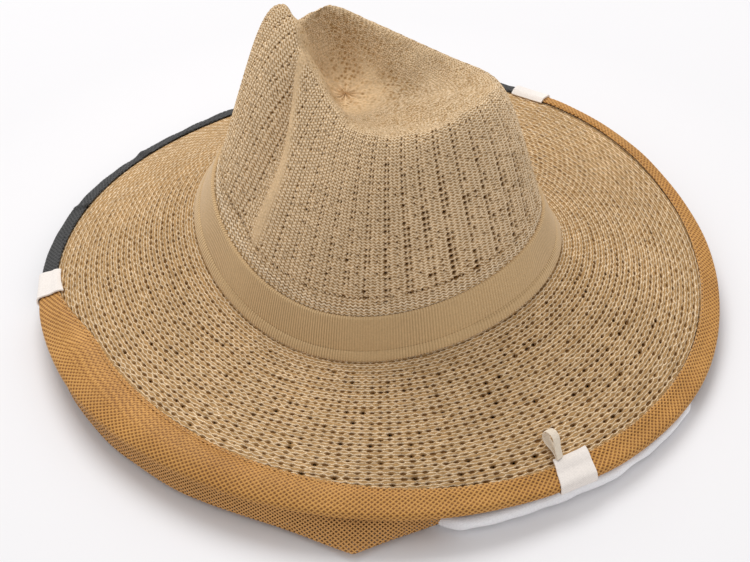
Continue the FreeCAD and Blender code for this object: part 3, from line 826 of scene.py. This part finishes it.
def make_hatband():
    a = np.linspace(0, 360, BAND_RIBS * 5 + 1)
    loose = ripple(a, 3, (2, 5, 9), 0.12)
    outline = [(-0.1, 1.5), (-0.2, 2.7), (0.35, 3.35), (1.8, 3.25), (3.4, 2.85), (4.7, 2.35), (5.2, 1.75),
               (5.8, 1.85), (9.0, 1.95), (14.0, 1.95), (19.0, 1.85), (22.3, 1.75), (23.0, 1.45), (23.2, 0.7),
               (23.0, -0.1)]
    controls = []
    for up, out in outline:
        sag = loose * math.sin(math.pi * min(max(up / 23.0, 0), 1))
        controls.append(wall_point(a, up + 0 * a, out + sag))
    points = spline_rows(controls, 2)
    where = 0.5 + 0.5 * ripple(a, 8, (3, 7, 13), 0.8)
    height = np.cos(TAU * BAND_RIBS * a / 360) * (0.04 + 0.10 * smooth(where))
    points = points + tangents(points, True)[2] * height[:, None]
    up = np.linspace(0, 1, len(points))[:, None]
    # Painted shade: dark lines near the lower lip and along its folds, a shadow line at the lower edge, and
    # darker between the ribs, since the tone follows their height.
    folds = (peak(up, 0.36, 0.010) + peak(up, 0.31, 0.010)) * smooth(0.2 + ripple(a, 9, (2, 3, 7), 1.2))
    dark = 0.45 * peak(up, 0.44, 0.018) + 0.25 * folds + 0.6 * peak(up, 0.02, 0.05)
    tone = np.clip(0.62 + height * 2.6 - dark, 0, 1)
    band = put("ribbed_hatband", "hatband", points, cloth_uv(a, 90, up * 30), tone, band_material,
               normals=tangents(points, True)[2])


def make_sweatband():
    a = np.linspace(0, 360, 721)
    loose = ripple(a, 5, (6, 11, 17), 0.25)
    outline = [(-1.9, -3.1), (-2.2, -3.5), (-1.9, -3.9), (0.0, -3.8), (4.0, -3.6), (9.0, -3.6), (14.0, -3.6),
               (19.0, -3.6), (22.0, -3.7), (22.8, -3.5), (22.4, -3.2)]
    controls = [wall_point(a, up + 0 * a, out + loose * 0.4) for up, out in outline]
    points = spline_rows(controls, 3)[::-1]
    up = np.linspace(31, 0, len(points))[:, None]
    seam = peak(up, 27, 0.6) * smooth(wave(a * 150 / 360) * 1.6 - 0.4)
    points = points - tangents(points, True)[2] * (0.25 * seam)[..., None]
    uv = cloth_uv(a, 86, up)
    band = put("sweatband_tape", "sweatband", points, uv, EVEN_TONE, tape)


# ---- netting hem round the brim's edge ----
def pulled_in(a):
    """1 in the middle of each tab, which holds the hem in, falling to 0 past its sides."""
    return sum(bump(a, tab, 4.6) for tab in TABS.values())


def hem_outline(a, grow=0.0):
    """Rows from the hem's upper inner edge out round the wire to its lower inner edge."""
    inner = EDGE_RADIUS - hem_width(a)
    edge = edge_height(a)
    puff = (1.2 + 1.8 * bump(a, -10, 40)) * (1 - 0.7 * pulled_in(a))
    beside = HOOP_RADIUS - WIRE_ROOM - 0.4
    middle = (inner + beside) / 2
    shoulder = EDGE_RADIUS - 1.0
    skin = HEM_SKIN + grow
    rows = [(inner, brim_top(a, inner) + skin),
            (middle, brim_top(a, middle) + skin + 0.8 * puff),
            (beside, np.maximum(brim_top(a, beside), edge + WIRE_ROOM) + skin + 0.7 * puff),
            (shoulder + 0.7 * grow, edge + WIRE_ROOM + 0.3 + 0.7 * grow),
            (EDGE_RADIUS + grow, edge),
            (shoulder + 0.7 * grow, edge - WIRE_ROOM - 0.3 - 0.7 * grow),
            (beside, np.minimum(brim_under(a, beside), edge - WIRE_ROOM) - skin),
            (inner, brim_under(a, inner) - skin)]
    return [rows_of(r, a, z) for r, z in rows]


NET_WIDE, NET_HIGH = 3.0, 2.5
HEM_ROUND, TIES = 184.0, (258.5, 278.5)


def net_cells(start, end):
    return round(np.radians(end - start) * HEM_ROUND / NET_WIDE)


def net_height(x, y):
    """The same diamond net as in the material, for the relief."""
    lines = [np.abs((x + side * y) % 1.0 - 0.5) for side in (1, -1)]
    return smooth((np.maximum(*lines) - 0.20) / 0.16)


def make_hem(name, node, start, end, material, wrinkles=0.0):
    """One panel's hem; wrinkles also tells how far its two dark ties stand up."""
    cells = net_cells(start, end)
    a = np.linspace(start + 0.05, end - 0.05, cells * 6 + 1)
    rows = spline_rows(hem_outline(a), 11)
    r, z = rows[..., 0], rows[..., 2]
    ends = pulled_in(a)
    r -= 0.9 * ends * smooth((r - 176) / 12)
    r -= 2.0 * bump(a, -12, 30) * smooth((r - 178) / 10)
    r += ripple(a, 11, (4, 7, 12), 0.35) * smooth((r - 180) / 8) * (1 - ends)
    top = smooth((z - edge_height(a)) / 2)
    crumple = wrinkles * ripple(a + r * 1.5, 13, (23, 41, 60), 0.4)
    crumple = (ripple(a, 12, (9, 17, 31), 0.28) + crumple) * top * (1 - ends)
    z += crumple * smooth((r - 178 + hem_width(a) / 3) / 4)
    ties = wrinkles * sum(bump(a, tie, 0.9) for tie in TIES)
    z += 1.1 * ties * top
    points = from_polar(rows)[::-1]
    normal = tangents(points, False)[2]
    run = lengths(points, 0)
    x = (a - start) / (end - start) * cells + 0 * run
    y = run / NET_HIGH + 0.12 * np.sin(x * 0.23) + 0.1 * np.sin(x * 0.061 + 1)
    net = net_height(x, y)
    seam = peak(run[-1] - run, 2.6, 0.5)
    points = points + normal * (0.42 * (net - 0.6) - 0.35 * seam)[..., None]
    uv = np.stack([x * NET_WIDE, y * NET_HIGH], -1) * MM
    # Painted shade: the tone is low in the net's holes and on the underside of the hem's outer roll, just
    # above the veil.
    shaded = smooth((edge_height(a) - 1.2 - z[::-1]) / 1.5) * smooth((r[::-1] - 182) / 4)
    tone = (0.08 + 0.80 * net + ripple(a, 14, (5, 13, 29), 0.05)) * (1 - 0.6 * shaded) * (1 - 0.9 * ties)
    piece = put(name, node, points, uv, np.clip(tone, 0, 1), material)


# ---- stowed veil and skirt under the brim ----
# Angle and radius of the veil's pointed corner, with the ends of its two straight edges.
VEIL_CORNER = [(4.25, 184.8), (23.75, 197.75), (38.75, 179.25)]


def skirt_shows(a):
    return smooth((a - 33.0) / 8.0) * smooth((94.0 - a) / 8.0)


def straight(a, a0, r0, a1, r1):
    """Radius along the straight line from one polar point to another."""
    return r0 * r1 * sind(a0 - a1) / (r1 * sind(a - a1) - r0 * sind(a - a0))


def veil_outer(a):
    """The folds' edge: just inside the hem's, but for one pointed corner on the left."""
    turn = (a + 180.0) % 360.0 - 180.0
    (a0, r0), (a1, r1), (a2, r2) = VEIL_CORNER
    hidden = smooth((a - a2) / 5.0) * smooth((102.0 - a) / 8.0)
    folds = straight(np.clip(turn, a0, a1), a0, r0, a1, r1)
    folds = folds + straight(np.clip(turn, a1, a2), a1, r1, a2, r2) - r1
    folds = np.where(turn > 60.0, r0, folds)
    return folds + (172.5 - folds) * hidden


def lowest_hem(a):
    return np.min([row[..., 2] for row in hem_outline(a)], axis=0)


def make_veil(name, node, start, end, material, seed):
    a = np.linspace(start + 0.15, end - 0.15, net_cells(start, end) * 2 + 1)
    under = lowest_hem(a)
    hang_from = np.minimum(165.0, EDGE_RADIUS - hem_width(a) - 3.0)
    outer = veil_outer(a) + ripple(a, seed + 20, (7, 15, 26), 0.4)
    face = np.minimum(outer - 1.5, 185.0)
    deep = np.minimum(outer - 3.5, 183.0) + ripple(a, seed + 21, (6, 14, 31), 1.0)
    tuck = [126.0 + ripple(a, seed + 22, (8, 13), 2.0), 129.0 + ripple(a, seed + 23, (7, 17), 2.5)]
    slack = ripple(a, seed + 1, (5, 11, 19), 1.0)

    def below(r, gap):
        return np.minimum(brim_under(a, r) - gap, np.maximum(under, 5.6) + 9.0 * smooth((184 - r) / 14))

    belly = (under + 4.6) / 2
    outline = [(hang_from, brim_under(a, hang_from) - 1.2),
               ((hang_from + 178) / 2, below((hang_from + 178) / 2, 2.6)),
               (np.minimum(178.0, face - 4), below(178.0, 3.0)),
               (np.minimum(184.0, face - 1), np.maximum(under - 0.5, 6.8)),
               (face, np.maximum(under - 1.6, 6.2)),
               (face + (outer - face) * 0.45 + 0.35 * slack, np.maximum(belly - 0.6, 5.0)),
               (outer, 4.7), (outer - 2.5, 3.75), ((outer + tuck[0]) / 2, 3.7 + 0.05 * slack),
               (tuck[0] + 3, 3.7)]
    for tip, back, level in ((deep, tuck[1], 4.35), (deep - 6, tuck[0] + 20, 5.6)):
        outline += [(tuck[0], level - 0.3), (tuck[0] + 3, level),
                    ((tip + tuck[0]) / 2, level + 0.04 * slack), (tip - 3, level),
                    (tip, level + 0.3), (tip - 3, level + 0.6),
                    ((tip + back) / 2, level + 0.62 + 0.04 * slack), (back + 3, level + 0.6)]
    points = cloth_points(a, outline, 5)
    uv = cloth_uv(a, HEM_ROUND, lengths(points, 0))
    piece = put(name, node, points, uv, EVEN_TONE, material, body=None)
    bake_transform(piece)


def make_skirt():
    a = np.linspace(0, 360, 1081)
    shows = skirt_shows(a)
    outer = 175.0 + (13.6 + 2.6 * bump(a, 66, 4.5) + 2.2 * smooth((a - 68) / 6)) * shows
    below_hem = edge_height(a) - WIRE_ROOM - HEM_SKIN - 0.6 - 3.0
    roll = np.minimum(below_hem, 7.2) * shows
    foot = outer - 8.5
    soft = ripple(a, 31, (13, 29, 47), 0.35) * shows
    fold = ripple(a, 32, (19, 37, 61), 0.45) * shows
    gather = ripple(a, 33, (61, 89, 127), 0.45)

    outline = [(124.5, 2.6 + 0.4 * gather), (140.0, 2.7 + 0.25 * gather),
               (158.0, 2.7), (foot - 1.5, 2.8),
               (foot + 0.6, 3.0 + 0.6 * roll + soft * 0.4), (foot + 4.0, 2.9 + roll + soft * 0.4),
               (outer - 1.4 + soft, 2.6 + 0.95 * roll + fold * 0.4),
               (outer - 0.1 + soft, 1.9 + 0.66 * roll),
               (outer - 0.7 + fold - 0.6 * shows, 1.3 + 0.3 * roll),
               (outer - 2.0 - 4.0 * shows, 0.4 + 0.8 * shows),
               (outer - 4.0 - 6.0 * shows, 0.3), (140.0, 0.6 + 0.4 * gather),
               (124.0, 0.6 + 0.5 * gather), (118.8 + gather, 0.55 + 0.45 * gather),
               (118.3 + 1.5 * gather, 0.9), (119.0 + gather, 1.2)]
    points = cloth_points(a, outline, 5)
    uv = cloth_uv(a, 160, lengths(points, 0))
    piece = put("cotton_skirt_cloth", "cotton_skirt", points, uv, EVEN_TONE, cotton, body="skirt")


# ---- canvas tabs, hanging loop and stitches ----
def thick(piece, depth, rounding):
    """Give a sheet its thickness, both ways from its middle, with rounded cut edges."""
    solid = piece.modifiers.new("thickness", "SOLIDIFY")
    solid.thickness = depth * MM
    solid.offset = 0.0
    bevel = piece.modifiers.new("rounding", "BEVEL")
    bevel.width = rounding * MM
    bevel.segments = 2
    bevel.angle_limit = math.radians(50)
    bpy.context.view_layer.update()
    final = bpy.data.meshes.new_from_object(piece.evaluated_get(bpy.context.evaluated_depsgraph_get()))
    piece.modifiers.clear()
    piece.data = final
    final.shade_smooth()


def make_tab(name, middle, reach=0.0, skew=0.0):
    half = math.degrees(TAB_WIDTH / 2 / EDGE_RADIUS)
    a = np.linspace(middle - half, middle + half, 45)
    end = EDGE_RADIUS - hem_width(a) - TAB_MARGIN - reach
    grow = 0.55 + TAB_THICKNESS / 2
    outline = hem_outline(a, grow)
    outline[0][..., 2] += 0.1
    top = rows_of(end, a, brim_top(a, end) + 0.75)
    low = rows_of(end, a, brim_under(a, end) - 0.75)
    rows = spline_rows([top] + outline + [low], 5)
    r, z = rows[..., 0], rows[..., 2]
    side = (a - middle) / half
    rows[..., 1] += skew * (184 - r) / 7
    r -= 0.9 * smooth((r - 176) / 12) * (1 - 0.6 * side ** 2)
    share = np.linspace(0, 1, len(rows))[:, None]
    z += (0.35 * side ** 4 - 0.15) * peak(share, 0, 0.08)
    z += ripple(a * 6, 41, (3, 8), 0.12) * peak(share, 0.3, 0.2)
    points = from_polar(rows)[::-1]
    run = lengths(points, 0)
    uv = cloth_uv(a - middle, EDGE_RADIUS, run)
    piece = put("canvas_" + name, name, points, uv, EVEN_TONE, canvas)
    thick(piece, TAB_THICKNESS, 0.3)


def make_loop():
    """Ribbon in a narrow drop shape; its frame is the CAD loop's own."""
    angle, leg, radius, width, depth = 58.2, 8.4, 4.0, 4.9, 0.75
    start = 0.9
    pivot_radius = EDGE_RADIUS - hem_width(angle) - TAB_MARGIN - start
    pivot = polar(pivot_radius, angle, brim_top(angle, pivot_radius) + 2.8)
    path = [(-1.7, 0.1), (-0.6, -0.2), (1.4, -0.75), (3.9, -1.6), (6.5, -3.0)]
    for turn in np.linspace(-100, 100, 9):
        path.append((start + leg + radius * cosd(turn) * 1.08, radius * sind(turn) * 0.92))
    path += [(6.5, 2.9), (3.9, 1.5), (1.4, 0.8), (-0.6, 0.8), (-1.7, 1.0)]
    middle = spline_rows([np.array([x, y, 0.0]) for x, y in path], 6)
    way = unit(np.gradient(middle, axis=0))
    side = np.stack([-way[:, 1], way[:, 0], 0 * way[:, 0]], -1)
    spin = np.linspace(-1, 1, len(middle)) * 0.22
    t = TAU * (np.arange(21) % 20)[:, None] / 20
    x = width / 2 * np.sign(np.cos(t)) * np.abs(np.cos(t)) ** 0.35
    y = depth / 2 * np.sign(np.sin(t)) * np.abs(np.sin(t)) ** 0.6
    raised, aside = x * np.cos(spin) - y * np.sin(spin), y * np.cos(spin) + x * np.sin(spin)
    points = middle + np.array([0, 0, 1]) * raised[..., None] + side * aside[..., None]
    turn = Matrix.Identity(3)
    for degrees, axis in ((angle + 3.0 + 180.0, "Z"), (-43.0, "Y"), (-80.0, "X")):
        turn = turn @ Matrix.Rotation(math.radians(degrees), 3, axis)
    points = points @ np.array(turn).T + pivot
    uv = np.stack(np.broadcast_arrays(x, lengths(points, 1)), -1) * MM
    put("ribbon_loop", "hanging_loop", points, uv, EVEN_TONE, ribbon, body="loop")


def make_stitches():
    """A row of lock stitches along the hem's inner edge, one small capsule each."""
    count, along, around = STITCH_COUNT, 7, 8
    t = np.linspace(-1, 1, along)
    middle = 360.0 * np.arange(count)[:, None] / count
    a = middle + 0.35 * 360.0 / count * t
    dark = (middle[:, 0] > RIGHT) & (middle[:, 0] < LEFT + 360)
    line = hem_outline(a)
    core = from_polar(line[0] * 0.78 + line[1] * 0.22)
    core[..., 2] += 0.25 - 0.35 * t ** 4
    thin = STITCH_RADIUS * np.sqrt(np.clip(1 - t ** 6, 0.03, 1))
    w = TAU * np.arange(around) / around
    out, up = np.outer(thin, np.cos(w)), np.outer(thin, np.sin(w))
    skin = core[:, :, None] + polar(out, a[..., None], up)
    verts = (squeezed(skin.reshape(-1, 3)) + HOOP_TO_ROW) * MM
    faces = []
    for first in range(0, len(verts), along * around):
        rings = [[first + j * around + i for i in range(around)] for j in range(along)]
        for low, high in zip(rings, rings[1:]):
            faces += [(low[i - 1], low[i], high[i], high[i - 1]) for i in range(around)]
        faces += [rings[0][::-1], rings[-1]]
    mesh = bpy.data.meshes.new("hem_lock_stitches")
    mesh.from_pydata(verts, [], faces)
    mesh.shade_smooth()
    mesh.polygons.foreach_set("material_index", np.repeat(dark.astype(int), len(faces) // count))
    piece = add_object("hem_lock_stitches", mesh)
    mesh.materials.append(tan_thread)
    mesh.materials.append(black_thread)
    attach(piece, "hat")
    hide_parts("hem_stitching")


make_brim()
make_crown()
make_hatband()
make_sweatband()
make_hem("hem_net_left", "hem_tan_left", LEFT, BACK, tan_hem)
make_hem("hem_net_back", "hem_tan_back", BACK, RIGHT, tan_hem)
make_hem("hem_net_black", "hem_black", RIGHT, LEFT + 360, black_hem, wrinkles=1.0)
make_veil("veil_net_left", "veil_tan_left", LEFT, BACK, tan_veil, 50)
make_veil("veil_net_back", "veil_tan_back", BACK, RIGHT, tan_veil, 80)
make_veil("veil_net_black", "veil_black_window", RIGHT, LEFT + 360, black_veil, 110)
make_skirt()
make_tab("tab_front_left", LEFT)
make_tab("tab_back_left", BACK, reach=1.0, skew=0.6)
make_tab("tab_right", RIGHT)
make_loop()
make_stitches()
# The CAD nodes that keep their shape get materials of their own.
for node, material in (("brim_hoop", wire), ("hoop_ferrule", sleeve), ("skirt_elastic", elastic)):
    slots = frame["nodes"][node].data.materials
    slots.clear()
    slots.append(material)

# ---- stage, light, camera ----
FLOOR_SIDE, FLOOR_DROP, FLOOR_GLOW = 12.0, 0.0003, 0.40
# The floor's glow, painted light that washes out the hat's shadow, starts outside the hat and is full beyond
# the second distance.
GLOW_FROM, GLOW_TO = 0.185, 0.29
SURROUND = 0.72
HOOP_CENTRE = Vector(HOOP_TO_ROW * MM) + Vector((0, 0, EDGE_LEVEL * MM))
LAMP_AZIMUTH, LAMP_ELEVATION, LAMP_DISTANCE, LAMP_SIZE, LAMP_POWER = -45.0, 58.0, 2.6, 1.7, 38.0
AZIMUTH, ELEVATION, DISTANCE, ROLL, LENS = 118.0, 40.05, 1.1023, 0.684, 94.37
SHIFT_X, SHIFT_Y = -0.00677, -0.0114


def toward(azimuth, elevation):
    a, e = math.radians(azimuth), math.radians(elevation)
    return Vector((math.sin(a) * math.cos(e), -math.cos(a) * math.cos(e), math.sin(e)))


def make_floor():
    """It moves with the skirt, so that a dropped veil still stands on it."""
    x = FLOOR_SIDE / 2
    mesh = bpy.data.meshes.new("floor")
    mesh.from_pydata([(-x, -x, 0), (x, -x, 0), (x, x, 0), (-x, x, 0)], [], [(0, 1, 2, 3)])
    floor = add_object("floor", mesh)
    floor.location.z = -FLOOR_DROP
    s = Shader("floor", roughness=0.7, specular=0.1)
    distance = s.node("ShaderNodeVectorMath", "Value", [("operation", "LENGTH")], _0=s.place())
    away = s.range(distance, GLOW_FROM, GLOW_TO)
    # The floor's own colour is darker where the painted glow is added.
    s.colour(s.mix(away, (0.86, 0.85, 0.857, 1.0), (0.48, 0.475, 0.48, 1.0)))
    s.give("Emission Color", (0.975, 0.965, 0.98, 1.0))
    s.give("Emission Strength", s.times(away, FLOOR_GLOW))
    mesh.materials.append(s.material)
    floor.parent = bpy.data.objects["cotton_skirt_cloth"].parent
    floor.matrix_parent_inverse = floor.parent.matrix_world.inverted()


def make_light():
    world = bpy.data.worlds.new("studio")
    world.use_nodes = True
    background = world.node_tree.nodes["Background"]
    background.inputs[0].default_value = (1.0, 0.99, 0.995, 1.0)
    background.inputs[1].default_value = SURROUND
    bpy.context.scene.world = world
    light = bpy.data.lights.new("key", "AREA")
    light.shape = "DISK"
    light.size = LAMP_SIZE
    light.energy = LAMP_POWER
    lamp = add_object("key", light)
    way = toward(LAMP_AZIMUTH, LAMP_ELEVATION)
    lamp.location = way * LAMP_DISTANCE
    lamp.rotation_euler = way.to_track_quat("Z", "Y").to_euler()


def make_camera():
    lens = bpy.data.cameras.new("camera")
    lens.lens = LENS
    lens.sensor_width = 36.0
    lens.shift_x, lens.shift_y = SHIFT_X, SHIFT_Y
    lens.clip_end = 50.0
    camera = add_object("camera", lens)
    way = toward(AZIMUTH, ELEVATION)
    turned = way.to_track_quat("Z", "Y").to_matrix() @ Matrix.Rotation(math.radians(-ROLL), 3, "Z")
    camera.matrix_world = Matrix.Translation(HOOP_CENTRE + way * DISTANCE) @ turned.to_4x4()
    bpy.context.scene.camera = camera


make_floor()
make_light()
make_camera()
bpy.context.scene.view_settings.view_transform = "Standard"
